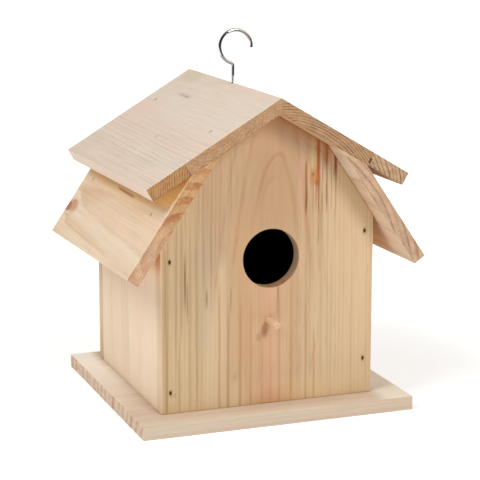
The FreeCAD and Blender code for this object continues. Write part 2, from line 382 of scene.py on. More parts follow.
class Wood:
    """Softwood as a solid: growth rings round a pith, fibres, marks, and darker end grain."""

    def __init__(self, name, board, look):
        self.n = n = new_material(name)
        self.look = look
        self.point = n.millimetres()
        offset = n.vector("SUBTRACT", self.point, tuple(board.face))
        self.x, self.y, self.z = (
            n.vector("DOT_PRODUCT", offset, tuple(axis))
            for axis in (board.across, board.outward, board.grain))
        local = n.combine(self.x, self.y, self.z)
        self.place = n.vector("ADD", local, tuple(look.seed * shift for shift in SEED_SHIFT))
        self.wobble = n.drift(self.place, WAVES, look.wobble)
        normal = n.add("ShaderNodeNewGeometry").outputs["Normal"]
        self.end, self.flat = (
            n.smooth(n.math("ABSOLUTE", n.vector("DOT_PRODUCT", normal, tuple(axis))), low, 0.9)
            for axis, low in ((board.grain, 0.55), (board.outward, 0.6)))
        self.knot_field()

    def pattern(self, scale, *settings):
        """Grey noise of the place in the wood."""
        return self.n.noise(self.place, scale, *settings)["Fac"]

    def knot_field(self):
        """How near the knots are: 'pull' bends the rings round them, 'knot' is one inside."""
        n = self.n
        self.pull = 0.0
        self.knot = 0.0
        self.knot_distance = 0.0
        for x, z, size in self.look.knots:
            dx = n.minus(n.total(self.x, self.wobble[0]), x)
            dz = n.minus(n.total(self.z, self.wobble[1]), z)
            uneven = self.pattern(LUMPS, 3)
            distance = n.length(dx, n.product(dz, 0.8))
            distance = n.total(distance, n.product(n.minus(uneven, 0.5), size))
            self.pull = n.total(self.pull, n.smooth(distance, size * 3.4, 0.0, 0.0, size * 2.2))
            self.knot = n.math("MAXIMUM", self.knot, n.smooth(distance, size, size * 0.7))
            self.knot_distance = distance

    def from_pith(self):
        """Place across and below the pith, and the distance from it that the rings follow."""
        n = self.n
        look = self.look
        far = n.drift(self.place, SWAY, look.wander)
        across = n.total(self.x, -look.pith[0], far[0], self.wobble[0])
        depth = n.total(self.y, look.pith[1], far[1], n.product(self.wobble[1], 0.5))
        radius = n.length(across, depth)
        radius = n.total(radius, n.product(self.z, look.taper), self.pull)
        if look.arch_bend:
            above = n.math("MAXIMUM", n.minus(self.z, look.arch_from), 0.0)
            middle = n.smooth(n.math("ABSOLUTE", across), 50, 22)
            radius = n.total(radius, n.product(above, above, middle, look.arch_bend))
        return across, depth, radius

    def ring_phase(self, radius):
        """Count of the rings up to a distance from the pith."""
        n = self.n
        look = self.look
        phase = n.product(radius, 1 / look.spacing)
        if look.inner_radius:
            beyond = n.math("MAXIMUM", n.minus(radius, look.inner_radius), 0.0)
            inner = n.product(radius, 1 / look.inner_spacing)
            phase = n.total(inner, n.product(beyond, 1 / look.spacing - 1 / look.inner_spacing))
        years = n.noise(n.combine(n.product(radius, 0.06), look.seed, 0.0), (1, 1, 1), 1)["Fac"]
        return n.total(phase, n.product(years, look.years))

    def rings(self):
        """Ring lines from 0 to 1 on the faces and the ends, and the place round the pith."""
        n = self.n
        look = self.look
        across, depth, radius = self.from_pith()
        phase = self.ring_phase(radius)
        ring = n.math("FRACT", phase)
        band = n.ramp(ring, [(0.0, 0.0), (0.42, 0.06), (0.74, 0.45), (0.90, 1.0), (1.0, 0.0)])
        year = n.math("FLOOR", phase)
        own = n.noise(n.combine(n.product(year, 1.37), look.seed, 3.3), (1, 1, 1), 0)["Fac"]
        broken = self.pattern(BREAKS, 3)
        end_strength = n.product(
            n.smooth(own, 0.32, 0.68, 0.6, 1.0), n.smooth(broken, 0.32, 0.55, 0.45, 1.0))
        strength = n.smooth(own, 0.32, 0.68, 0.22, 1.0)
        fading = self.pattern(FADING, 2)
        strength = n.product(strength, n.smooth(fading, 0.3, 0.65, 0.35, 1.0))
        angle = n.math("ARCTAN2", depth, across)
        late = 0.9 - look.late_share
        wide = n.ramp(
            ring, [(0.0, 0.0), (late - 0.14, 0.08), (late, 0.7), (0.92, 1.0), (1.0, 0.0)])
        return n.product(band, strength), n.product(wide, end_strength), angle, radius

    def face_colour(self, lines):
        """Planed faces: two clouded tones, ring lines, fibres, bands and short pores."""
        n = self.n
        look = self.look
        cloud = self.pattern(CLOUDS, 3)
        colour = n.mix(n.smooth(cloud, 0.36, 0.64), linear(look.early), linear(look.warm))
        if look.lines_at:
            reach = 300  # the ramp covers the board from -150 to 150
            across = n.math("MULTIPLY_ADD", self.x, 1 / reach, 0.5)
            stops = [(x / reach + 0.5, strength) for x, strength in look.lines_at]
            lines = n.product(lines, n.ramp(across, stops))
        colour = n.mix(n.product(lines, look.lines), colour, linear(look.line))
        fine = n.smooth(self.fibre, 0.25, 0.75, 0.93, 1.05)
        band = self.pattern(BANDS, 3)
        broad = n.smooth(band, 0.28, 0.72, 1.0 - 0.055 * look.streaks, 1.0 + 0.045 * look.streaks)
        colour = n.shade(colour, n.product(fine, broad))
        pores = n.smooth(self.pattern(PORES, 1), 0.62, 0.78)
        return n.mix(n.product(pores, look.dashes), colour, linear(look.line))

    def painted_shade_slant(self, mark):
        """How far the wood is in a sloping band of painted shade."""
        n = self.n
        run = Vector(mark.stop) - Vector(mark.start)
        length = run.length
        run.normalize()
        dx = n.minus(self.x, mark.start[0])
        dz = n.minus(self.z, mark.start[1])
        along = n.total(n.product(dx, run.x), n.product(dz, run.y))
        off = n.minus(n.product(dx, run.y), n.product(dz, run.x))
        return n.product(n.bell(off, 0.0, mark.width), n.span(along, 0.0, length, 12.0))

    def arch(self, mark):
        """Line of a ring seen in an arch, as a parabola with its top at (x, z)."""
        n = self.n
        dx = n.minus(n.total(self.x, self.wobble[0], self.wobble[1]), mark.x)
        drop = n.minus(mark.z, n.total(self.z, n.product(self.wobble[2], 2.0)))
        spread = n.math("LESS_THAN", dx, 0.0)
        spread = n.total(n.product(spread, mark.left ** 2 - mark.right ** 2), mark.right ** 2)
        square = n.product(dx, dx)
        height = n.minus(square, n.product(spread, drop))
        slope = n.product(n.math("SQRT", n.total(square, n.product(spread, spread, 0.25))), 2.0)
        line = n.bell(n.math("DIVIDE", height, slope), 0.0, mark.width)
        faint = n.smooth(self.pattern(FAINT, 2), 0.36, 0.6, 0.45, 1.0)
        return n.product(line, faint, n.smooth(self.z, mark.low - 18, mark.low + 18))

    def streak(self, mark, ragged):
        """How far the wood is in a band along the grain; narrow ones are ragged."""
        n = self.n
        x = n.total(self.x, n.product(self.wobble[0], min(1.0, mark.width)))
        z = n.total(self.z, n.product(self.wobble[2], 4.0))
        along = n.span(z, mark.low, mark.high, mark.soft)
        mask = n.product(n.bell(x, mark.x, mark.width), along)
        if mark.width < RAGGED_BELOW:
            mask = n.product(mask, ragged)
        return n.product(mask, self.flat) if mark.flat else mask

    def spot(self, mark):
        """How far the wood is in an oval mark of the outer face."""
        n = self.n
        sway = min(1.0, mark.across, mark.along)
        x = n.total(self.x, n.product(self.wobble[0], sway))
        dx = n.product(n.minus(x, mark.x), 1 / mark.across)
        z = n.total(self.z, n.product(self.wobble[1], sway))
        dz = n.product(n.minus(z, mark.z), 1 / mark.along)
        outer = n.smooth(self.y, -3.0, -2.0)
        near = n.smooth(n.length(dx, dz), 1.0, 0.35)
        return n.product(near, outer)

    def add_marks(self, colour):
        """The marks one over the other, in the order of the list; the seams come later."""
        n = self.n
        broken = self.pattern(RAGGED, 3)
        ragged = n.smooth(broken, 0.34, 0.56, 0.35, 1.0)
        for mark in self.look.marks:
            if isinstance(mark, Streak):
                mask = self.streak(mark, ragged)
            elif isinstance(mark, Arch):
                mask = self.arch(mark)
            elif isinstance(mark, PaintedShadeSlant):
                mask = self.painted_shade_slant(mark)
            elif isinstance(mark, Spot):
                mask = self.spot(mark)
            else:
                continue
            colour = n.mix(n.product(mask, mark.amount), colour, linear(mark.colour))
        return colour

    def add_seams(self, colour):
        n = self.n
        for seam in self.look.marks:
            if isinstance(seam, Seam):
                depth = n.span(self.y, -seam.deep, -seam.shallow, 0.4)
                ragged = n.total(self.x, n.product(self.wobble[1], 0.15))
                mask = n.product(n.bell(ragged, seam.x, seam.width), depth)
                colour = n.mix(n.product(mask, seam.amount), colour, linear(GLUE))
        return colour

    def add_nail_stains(self, colour):
        """Oval stain and crushed fibres round each nail head."""
        n = self.n
        stain = self.look.nail_stain
        squeeze = 0.6  # share of the long way that counts as distance
        for x, z in self.look.nails:
            dx = n.minus(self.x, x)
            dz = n.minus(self.z, z)
            if self.look.nails_along:
                dz = n.product(dz, squeeze)
            else:
                dx = n.product(dx, squeeze)
            distance = n.length(dx, dz)
            near = n.product(n.smooth(distance, 3.0, 0.8), n.smooth(self.y, -1.5, -0.7))
            colour = n.mix(n.product(near, 0.45 * stain), colour, linear(NAIL_STAIN))
            crushed = n.product(n.smooth(distance, 1.45, 0.95), n.smooth(self.y, -2.5, -1.5))
            colour = n.mix(n.product(crushed, 0.9 * stain), colour, linear(CRUSHED))
        return colour

    def add_knots(self, colour):
        n = self.n
        if not self.look.knots:
            return colour
        circles = n.math("FRACT", n.product(self.knot_distance, 0.8))
        dark = n.smooth(circles, 0.4, 0.95, 0.0, 0.7)
        knot = n.mix(dark, linear(KNOT), linear(KNOT_RINGS))
        return n.mix(n.product(self.knot, 0.9), colour, knot)

    def end_colour(self, lines, angle, radius):
        """Sawn end grain: rings, rays, a speckle of torn fibres and faint saw marks."""
        n = self.n
        look = self.look
        wood = linear(look.end)
        if look.end_wash:
            place, paler = look.end_wash
            soft = 20
            wash = n.smooth(self.x, place + soft, place - soft)
            wood = n.mix(wash, wood, linear(paler))
            lines = n.product(lines, n.smooth(wash, 0.0, 1.0, 1.0, 0.45))
        colour = n.mix(n.product(lines, look.end_lines), wood, linear(look.end_line))
        torn = n.smooth(
            self.speckle, 0.3, 0.7, 1.0 - 0.16 * look.speckle, 1.0 + 0.10 * look.speckle)
        patch = n.smooth(self.pattern(PATCHES, 3), 0.3, 0.7, 0.88, 1.08)
        ray = n.combine(n.product(angle, 70.0), n.product(radius, 0.12), 0.0)
        rays = n.smooth(n.noise(ray, (1, 1, 1), 2)["Fac"], 0.3, 0.7, 0.95, 1.04)
        stroke = n.total(self.x, n.product(self.y, 0.22))
        self.saw = n.noise(n.combine(stroke, look.seed, 0.0), SAW_MARKS, 2)["Fac"]
        saw = n.smooth(self.saw, 0.3, 0.7, 0.95, 1.04)
        return n.shade(colour, n.product(torn, patch, rays, saw))

    def inside(self):
        """One on the walls of the nest space, where no light reaches."""
        n = self.n
        x, y, z = n.separate(self.point)
        x = n.math("ABSOLUTE", x)
        y = n.math("ABSOLUTE", y)
        upper = RIDGE_HEIGHT - ROOF_BOARD / math.cos(UPPER_PITCH) + 0.3
        upper = n.minus(upper, n.product(x, math.tan(UPPER_PITCH)))
        tall = EAVE_Z + EAVE_X * math.tan(LOWER_PITCH) - ROOF_BOARD / math.cos(LOWER_PITCH) + 0.3
        lower = n.minus(tall, n.product(x, math.tan(LOWER_PITCH)))
        return n.product(
            n.math("LESS_THAN", x, HALF_WIDTH - BOARD + 0.2),
            n.math("LESS_THAN", y, HALF_DEPTH - BOARD + 0.2),
            n.math("GREATER_THAN", z, BOARD - 0.2),
            n.math("LESS_THAN", z, n.math("MINIMUM", upper, lower)))

    def add_shade(self, colour):
        """Warm shade where little of the sky is open, and the unlit walls of the nest space."""
        n = self.n
        near = n.add("ShaderNodeAmbientOcclusion", {"Distance": 80 * MM}, samples=8)
        contact = self.look.contact
        shadow = n.smooth(near.outputs["AO"], contact, contact - 0.45)
        tint = (*self.look.contact_tint, 1)
        colour = n.mix(shadow, colour, n.mix(1.0, colour, tint, "MULTIPLY"))
        return n.mix(self.inside(), colour, NEST_DARK)

    def finish(self):
        """The whole material."""
        n = self.n
        self.fibre = self.pattern(FIBRES, 3)
        self.speckle = self.pattern(TORN, 4, 0.72)
        lines, end_lines, angle, radius = self.rings()
        colour = self.add_marks(self.face_colour(lines))
        colour = n.mix(self.end, colour, self.end_colour(end_lines, angle, radius))
        colour = self.add_knots(colour)
        colour = self.add_seams(self.add_nail_stains(colour))
        # painted shade on the undersides of the roof boards
        if self.look.painted_underside_shade:
            under = n.smooth(self.y, -ROOF_BOARD + 1.2, -ROOF_BOARD + 0.4)
            colour = n.mix(under, colour, n.mix(1.0, colour, UNDERSIDE_PAINTED_SHADE, "MULTIPLY"))
        colour = self.add_shade(colour)
        torn = n.product(self.end, n.total(n.product(self.speckle, 1.2), n.product(self.saw, 1.6)))
        height = n.total(n.product(lines, -0.5), n.product(self.fibre, 0.5), torn)
        normal = n.bump(height, 0.12 * MM, 0.7)
        roughness = n.minus(0.70, n.product(lines, 0.12))
        return n.surface(colour, roughness, normal, specular=0.3)


# ---- boards ----

def on_entrance(edge):
    """Whether an edge runs along the rim of the entrance."""
    first, second = (v.co / MM - ENTRANCE for v in edge.verts)
    return abs(first.y - second.y) < 0.01 and all(
        abs(math.hypot(place.x, place.z) - ENTRANCE_RADIUS) < 0.1 for place in (first, second))


def in_planes(edge, planes):
    """Whether an edge lies in one of some (point, normal) planes."""
    return any(
        all(abs((v.co - point).dot(normal)) < IN_PLANE for v in edge.verts)
        for point, normal in planes)


def is_sawn(edge, glued):
    """Whether an edge is eased: sharp, no facet of a bore, and not in a glue line."""
    if len(edge.link_faces) != 2 or edge.calc_face_angle() <= math.radians(25):
        return False
    return (edge.calc_length() > 2.2 * MM or on_entrance(edge)) and not in_planes(edge, glued)


def cut_grid(bm, low, high):
    """Cuts the faces into cells, so that they can be uneven."""
    for axis, normal in enumerate((RIGHT, BACK, UP)):
        size = high[axis] - low[axis]
        count = max(1, round(size / (CELL * MM)))
        for i in range(1, count):
            point = normal * (low[axis] + size * i / count)
            geometry = bm.verts[:] + bm.edges[:] + bm.faces[:]
            bmesh.ops.bisect_plane(
                bm, geom=geometry, dist=0.001 * MM, plane_co=point, plane_no=normal)


def board_mesh(board, glued):
    """The CAD board with eased edges and a fine grid of faces.

    glued lists planes, each as a point and a normal; edges that lie in them stay sharp.
    """
    bm = bmesh.new()
    bm.from_mesh(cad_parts[board.node].data)
    bmesh.ops.remove_doubles(bm, verts=bm.verts, dist=WELD)
    bmesh.ops.dissolve_limit(bm, angle_limit=math.radians(1), verts=bm.verts, edges=bm.edges)
    sawn = [edge for edge in bm.edges if is_sawn(edge, glued)]
    bmesh.ops.bevel(
        bm, geom=sawn, offset=EASED * MM, segments=3, profile=0.5, affect="EDGES",
        clamp_overlap=True)
    cut_grid(bm, *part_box(board.node))
    return bm


def weather(bm, seed):
    """Slight unevenness of the sawn faces, which stay above the table."""
    wave = 16 * MM
    for vertex in bm.verts:
        place = vertex.co / wave + Vector((seed * 9.1, 0, 0))
        vertex.co += noise.noise_vector(place) * 0.07 * MM
        vertex.co.z = max(vertex.co.z, 0.0)


def new_object(name, data):
    thing = bpy.data.objects.new(name, data)
    bpy.context.scene.collection.objects.link(thing)
    return thing


def make_piece(name, bm, material, body):
    """Smooth piece with creases at its real edges, on a body and with a material slot."""
    for edge in bm.edges:
        if len(edge.link_faces) == 2 and edge.calc_face_angle() > math.radians(36):
            edge.smooth = False
    for face in bm.faces:
        face.smooth = True
    mesh = bpy.data.meshes.new(name)
    bm.to_mesh(mesh)
    bm.free()
    piece = new_object(name, mesh)
    mesh.materials.append(material)
    weighted = piece.modifiers.new("normals", "WEIGHTED_NORMAL")
    weighted.keep_sharp = True
    weighted.weight = 90
    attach(piece, body)
    return piece


def make_board(board, look, glued=()):
    bm = board_mesh(board, glued)
    weather(bm, look.seed)
    material = Wood(board.node + "_wood", board, look).finish()
    piece = make_piece(board.node + "_wood", bm, material, "house")
    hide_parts(board.node)


def slope(side, pitch):
    """Directions of a roof board: down the slope, and out of its face."""
    down = Vector((side * math.cos(pitch), 0, -math.sin(pitch)))
    outward = Vector((side * math.sin(pitch), 0, math.cos(pitch)))
    return down, outward


def make_base():
    board = Board("base_board", Vector((0, 0, BOARD)), BACK, UP, RIGHT)
    look = Look(
        seed=1, pith=(-150, 40), spacing=12.0, taper=0.03, wander=12.0,
        early=(202, 184, 163), warm=(198, 176, 154), line=(176, 148, 120), contact=0.3,
        end=(208, 185, 162), end_line=(172, 128, 100), end_lines=1.0, speckle=0.5,
        marks=[
            # the first and last strips are painted light on the top beside the house, over the
            # shadow it casts
            Streak(120, 245, -150, -97, (253, 246, 236), 1.0, 8, True),
            Streak(-115, 26, -150, 150, (232, 216, 198), 0.28, 8, True),
            Streak(0, 600, 97, 150, (252, 243, 226), 0.62, 8, True)])
    make_board(board, look)


# broad pale and dark bands, painted light along the foot, painted shade below the ridge, and the
# bright sawn edges
FRONT_TONES = [
    Streak(-74, 38, 0, 180, (204, 182, 142), 0.5, 30),
    Streak(-40, 190, 96, 300, (150, 124, 102), 0.26, 45),
    # paler along the foot: painted light against the shade near the base
    Streak(0, 220, 0, 24, (230, 204, 166), 0.42, 18),
    Streak(-51, 11, 10, 118, (216, 194, 162), 0.4, 25),
    Streak(4, 34, 0, 130, (198, 152, 118), 0.55, 30),
    # darker below the ridge: painted shade under the roof
    Streak(0, 60, 150, 300, (176, 136, 100), 0.65, 30),
    Streak(74, 38, 0, 300, (206, 177, 141), 0.5, 30),
    Streak(40, 90, 0, 26, (222, 190, 142), 0.45, 16),
    Streak(2, 44, 0, 20, (190, 134, 86), 0.5, 14),
    Streak(-1, 9, 12, 112, (200, 148, 116), 0.45, 12),
    Streak(-42, 7, 10, 140, (208, 184, 148), 0.55, 14),
    Streak(-24, 20, 40, 175, (186, 147, 108), 0.75, 25),
    Streak(-58, 12, 60, 165, (176, 160, 132), 0.35, 20),
    Streak(-90.6, 2.2, 10, 150, (158, 124, 72), 0.7, 10),
    Streak(-101, 8, 0, 300, (236, 214, 188), 2.4, 1),
    Streak(101, 8, 0, 300, (226, 204, 178), 2.4, 1),
]

# rings that close in an arch above the entrance
FRONT_ARCHES = [
    Arch(8.4, 225.5, 3.05, 2.05, 170, 2.9, RING, 0.55),
    Arch(6.0, 206.3, 2.7, 1.6, 180, 2.2, RING, 0.22),
    Arch(8.0, 287.0, 3.22, 2.3, 130, 2.8, RING, 0.42),
    Arch(8.0, 330.0, 3.8, 3.0, 110, 1.8, RING, 0.3),
]

# resin and dark rings on the right, and the pitch pocket
FRONT_RESIN = [
    Streak(-33.4, 1.8, 176, 226, (158, 128, 88), 0.55, 12),
    Streak(28.5, 4.0, 176, 250, (204, 160, 138), 0.4, 20),
    Streak(38.5, 3.0, 208, 244, (206, 178, 130), 0.55, 10),
    Streak(33, 1.8, 176, 217, (150, 98, 52), 1.0, 5),
    Streak(33.2, 1.1, 172, 192, (96, 56, 26), 0.7, 8),
    Streak(33.4, 1.4, 40, 170, (172, 126, 82), 0.5, 20),
    Streak(43.8, 2.6, 196, 242, (150, 76, 18), 1.0, 8),
    Streak(44.3, 1.2, 150, 206, (132, 80, 46), 0.85, 14),
    Streak(37.4, 1.1, 196, 212, (164, 96, 52), 0.7, 6),
    Streak(39.2, 1.2, 176, 206, (158, 96, 56), 0.7, 8),
    Streak(41.9, 1.0, 178, 207, (150, 92, 54), 0.7, 8),
    Spot(40.4, 204, 5.2, 10, (178, 112, 52), 0.65),
    Spot(39.0, 206.5, 1.8, 2.2, (132, 72, 36), 0.6),
    Spot(42.4, 199.0, 1.4, 3.2, (138, 76, 38), 0.6),
    Streak(51, 5.0, 214, 240, (166, 94, 40), 0.8, 8),
    Streak(51.4, 1.0, 178, 232, (112, 64, 36), 0.9, 12),
    Streak(47.6, 0.9, 172, 216, (146, 94, 60), 0.65, 10),
    Streak(55.4, 1.0, 176, 228, (150, 98, 62), 0.6, 10),
    Streak(59.2, 2.8, 204, 236, (128, 66, 22), 1.0, 8),
    Streak(59.5, 1.2, 172, 206, (146, 94, 58), 0.7, 12),
]

# flecks round the perch and on the left, stain and painted shadow below the perch, and painted
# shade below the right eave
FRONT_FLECKS_AND_PAINTED_SHADE = [
    Streak(-73.8, 1.9, 104, 142, (126, 96, 60), 0.85, 12),
    Streak(-71.5, 1.3, 92, 122, (130, 102, 70), 0.65, 8),
    Streak(-55.2, 1.8, 101, 114, (130, 108, 76), 0.75, 6),
    Streak(-33.7, 1.5, 98, 115, (146, 108, 66), 0.8, 6),
    Streak(8.3, 1.6, 88, 116, (160, 104, 70), 0.9, 5),
    # below the perch: partly a stain, partly painted shadow of the perch
    Spot(-3.6, 77, 4.4, 9, (158, 108, 70), 0.65),
    Spot(-9.0, 70.5, 3.4, 5, (170, 122, 84), 0.45),
    Streak(20.4, 2.0, 12, 118, (174, 128, 84), 0.6, 16),
    Streak(41.7, 1.8, 10, 66, (188, 124, 76), 0.6, 14),
    Streak(-60, 50, 0, 12, (214, 180, 112), 0.4, 8),
    # painted shade below the right eave
    PaintedShadeSlant((4, 262), (58, 230), 16, (158, 96, 36), 0.55),
    Spot(-83.1, 27.6, 1.6, 2.6, (160, 128, 88), 0.4),
]


def front_rings():
    """Ring lines that stand out: on the left, and along the foot."""
    marks = []
    for x, width, low, high in (
            (-82, 1.7, 60, 165), (-77, 2.6, 84, 170), (-69.2, 1.7, 88, 160),
            (-64, 1.9, 20, 168), (-57.4, 1.8, 112, 168), (-51, 1.7, 104, 172),
            (-79, 1.7, 8, 70), (-70, 1.9, 10, 84)):
        marks.append(Streak(x, width, low, high, (152, 118, 84), 0.45, 26))
    for x, high, amount in (
            (-44, 112, 0.55), (-36, 98, 0.7), (-25.5, 102, 0.65), (-16, 104, 0.45),
            (-6, 66, 0.3), (1.6, 92, 0.3), (9.6, 104, 0.45), (33.8, 98, 0.5),
            (57, 126, 0.2), (76, 130, 0.22)):
        marks.append(Streak(x, 1.9, -20, high, (168, 122, 86), amount, 18))
    return marks


def make_front_panel():
    board = Board("front_panel", Vector((0, -HALF_DEPTH, 0)), RIGHT, -BACK, UP)
    marks = FRONT_TONES + FRONT_ARCHES + FRONT_RESIN + FRONT_FLECKS_AND_PAINTED_SHADE + front_rings()
    look = Look(
        seed=2, pith=(8, 6), spacing=3.7, inner_spacing=11, inner_radius=44, taper=0.012,
        arch_from=178, arch_bend=0.00625, wander=4.0, years=0.3,
        early=(197, 170, 135), warm=(190, 157, 121), line=(128, 93, 53), lines=1.0,
        lines_at=[
            (-95, 1.0), (-60, 0.95), (-53, 0.55), (-36, 0.35), (26, 0.3), (44, 0.62), (95, 0.6)],
        contact=0.58, contact_tint=(0.78, 0.35, 0.05), dashes=0.35, marks=marks,
        nails_along=True, nails=[(-87, 30), (-87, 141), (87, 43), (87, 155)])
    make_board(board, look)


def make_back_panel():
    board = Board("back_panel", Vector((0, HALF_DEPTH, 0)), -RIGHT, BACK, UP)
    look = Look(
        seed=3, pith=(-22, 8), spacing=3.6, inner_spacing=9.0, inner_radius=30, taper=0.03,
        arch_from=140, arch_bend=0.004, wander=7.0, nails_along=True,
        early=(206, 181, 146), warm=(203, 172, 138), line=(168, 130, 90), lines=0.75,
        knots=[(48, 96, 5.5)], nails=[(-87, 38), (-87, 150), (87, 38), (87, 150)])
    make_board(board, look)


WALL_STAVES = {
    "front": dict(
        pith=(-30, 60), spacing=4.2, early=(226, 206, 182), warm=(224, 200, 174), lines=0.3),
    "back": dict(
        pith=(30, 40), spacing=6.5, early=(223, 203, 178), warm=(219, 195, 168), lines=0.5),
}


def make_sides():
    """Two staves a side, glued half way along; the front ones are paler."""
    middle = [(Vector((0, 0, 0)), BACK)]
    # the glue seam, and painted light along the foot against the shade near the base
    marks = [Seam(0, 0.45, -1, 20, 0.35), Streak(0, 200, 0, 24, (240, 222, 198), 0.6, 24)]
    for side, name in SIDES:
        face = Vector((side * HALF_WIDTH, 0, 0))
        for end, own in WALL_STAVES.items():
            node = name + "_side_" + end + "_stave"
            seed = side + (6 if end == "front" else 4)
            look = Look(
                seed, taper=0.01, wander=4.0, line=(196, 164, 126), streaks=0.45, contact=0.6,
                marks=marks, **own)
            make_board(Board(node, face, -BACK, side * RIGHT, UP), look, middle)


# dents, scars and worn patches of the wide stave
UPPER_LEFT_MARKS = [
    Streak(31.6, 3.2, 30, 58, (182, 160, 144), 0.7, 12),
    Spot(31.8, 37, 1.8, 6, (150, 124, 104), 0.5),
    Spot(34, 110.5, 1.6, 2.2, (84, 60, 50), 0.95),
    Spot(6, 84, 16, 34, (198, 184, 158), 0.6),
    Spot(60, 78, 30, 34, (218, 192, 176), 0.5),
    Spot(82.6, -12.4, 3.6, 5, (188, 176, 166), 0.6),
]


RIDGE_STAVES = {
    "left": dict(pith=(60, -25), spacing=3.2, end_lines=0.25, speckle=1.7),
    "right": dict(pith=(50, 84), spacing=2.3, end_lines=1.0),
}
EAVE_STAVES = {
    "left": dict(pith=(65, 31), spacing=2.1, end=(171, 127, 83), end_lines=0.9),
    "right": dict(pith=(78, 44), spacing=3.2, end=(175, 142, 109), end_lines=1.0),
}


def make_upper_roof():
    """Two staves a side, glued along the slope and mitred at the ridge."""
    mitre = (Vector((0, 0, 0)), RIGHT)
    ridge = Vector((0, 0, RIDGE_HEIGHT))
    tones = dict(
        early=(214, 201, 186), warm=(216, 196, 181), line=(172, 147, 121),
        painted_underside_shade=True, nail_stain=0.3)
    for side, name in SIDES:
        down, outward = slope(side, UPPER_PITCH)
        glue = ((ridge + down * GLUE_LINE) * MM, down)
        gap = Seam(GLUE_LINE, 1.7, 5.0, 9.5, 1.0)
        wide_marks = []
        narrow_marks = [Streak(134, 5, -150, 150, (209, 188, 171), 1.0, 1)]
        if side < 0:
            gap = Seam(GLUE_LINE, 0.45, 1.5, 20, 0.7)
            wide_marks = UPPER_LEFT_MARKS
            narrow_marks.append(Spot(116, 84, 26, 34, (202, 192, 172), 0.6))
        look = Look(
            seed=8 + side, taper=0.01, wander=8.0, wobble=2.6, streaks=0.4,
            lines_at=[(0, 0.12), (62, 0.15), (86, 1.0)], end=(168, 131, 95),
            end_line=(90, 54, 28), marks=wide_marks + [gap],
            nails=[(57, -PANEL_NAIL_Y), (47, PANEL_NAIL_Y)], **tones, **RIDGE_STAVES[name])
        board = Board("upper_" + name + "_ridge_stave", ridge, down, outward, BACK)
        make_board(board, look, [mitre, glue])
        look = Look(
            seed=11 + side, taper=0.012, wander=8.0, wobble=3.6, lines=1.0, dashes=0.4,
            end_line=(94, 58, 32), marks=narrow_marks + [gap], **tones, **EAVE_STAVES[name])
        board = Board("upper_" + name + "_eave_stave", ridge, down, outward, BACK)
        make_board(board, look, [glue])


# resin near the front, and the stained wood round the knot
LOWER_LEFT_MARKS = [
    Streak(60, 2.0, -30, 14, (160, 106, 58), 0.8, 5),
    Spot(25, 95, 9, 18, (188, 140, 114), 0.85),
    Spot(20.5, 112, 3.0, 3.4, (104, 54, 34), 0.9),
    Spot(30, 97, 1.8, 7, (176, 120, 92), 0.6),
    Spot(15, 99, 1.6, 8, (180, 128, 98), 0.5),
]


LOWER_BOARDS = {
    "left": dict(
        pith=(40, 32), spacing=12.0, wander=3.0, years=0.1, end=(180, 141, 97),
        end_line=(154, 88, 52), end_wash=(48, (190, 153, 122)), late_share=0.38,
        # under the upper eave: painted warm shade, lifted in red as painted bounce light
        contact=0.74, contact_tint=(1.5, 1.18, 0.52), knots=[(23, 106, 6)],
        marks=LOWER_LEFT_MARKS),
    "right": dict(
        pith=(73, 157), spacing=5.5, end=(181, 152, 123), end_line=(160, 108, 80),
        contact=0.6, knots=[(60, 30, 4)]),
}


def make_lower_roof():
    for side, name in SIDES:
        down, outward = slope(side, LOWER_PITCH)
        eave = Vector((side * EAVE_X, 0, EAVE_Z))
        look = Look(
            seed=14 + side, early=(220, 201, 178), warm=(220, 194, 165), end_lines=1.0,
            nail_stain=0.3, nails=[(54.7, -PANEL_NAIL_Y), (54.7, PANEL_NAIL_Y)],
            **LOWER_BOARDS[name])
        make_board(Board("lower_" + name + "_roof_board", eave, -down, outward, BACK), look)


# ---- perch ----

def turns(sides):
    """Angles of the corners of a round section."""
    return [2 * math.pi * i / sides for i in range(sides)]


def skin(bm, loops):
    """Closes a solid over rings of vertices, with a cap at each end."""
    for first, second in zip(loops, loops[1:]):
        for i in range(len(first)):
            j = (i + 1) % len(first)
            bm.faces.new((first[i], first[j], second[j], second[i]))
    bm.faces.new(list(reversed(loops[0])))
    bm.faces.new(loops[-1])
    bmesh.ops.recalc_face_normals(bm, faces=bm.faces)


def perch_profile():
    """(Distance along, radius) points from the rounded front end to the back end."""
    rounding = 0.9
    steps = 6
    profile = []
    for step in range(steps, -1, -1):
        angle = math.radians(90 * step / steps)
        along = PERCH_FRONT + rounding * (1 - math.sin(angle))
        profile.append((along, PERCH_RADIUS - rounding * (1 - math.cos(angle))))
    start = PERCH_FRONT + rounding
    lengths = 14
    for step in range(1, lengths + 1):
        profile.append((start + (PERCH_BACK - start) * step / lengths, PERCH_RADIUS))
    return profile


def perch_point(along, radius, angle):
    """Point of the dowel, a little worn in where it stands out of the front."""
    point = Vector((radius * math.cos(angle), along, PERCH_Z + radius * math.sin(angle)))
    if along < -HALF_DEPTH:
        worn = abs(noise.noise(point * 0.35) * 0.10 - 0.05)
        point.x -= math.cos(angle) * worn
        point.z -= math.sin(angle) * worn
    return point * MM


def make_perch():
    bm = bmesh.new()
    skin(bm, [
        [bm.verts.new(perch_point(along, radius, angle)) for angle in turns(40)]
        for along, radius in perch_profile()])
    board = Board("perch_dowel", Vector((0, PERCH_FRONT, PERCH_Z)), RIGHT, UP, BACK)
    look = Look(
        seed=20, pith=(2, 9), spacing=1.1, taper=0.01, wander=1.0,
        early=(216, 190, 150), warm=(212, 182, 140), line=(190, 154, 110), lines=0.4,
        contact=0.5, end=(206, 174, 132), end_line=(176, 138, 96))
    material = Wood("perch_wood", board, look).finish()
    perch = make_piece("perch_dowel_wood", bm, material, "house")
    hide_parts("perch_dowel")


# ---- hook ----

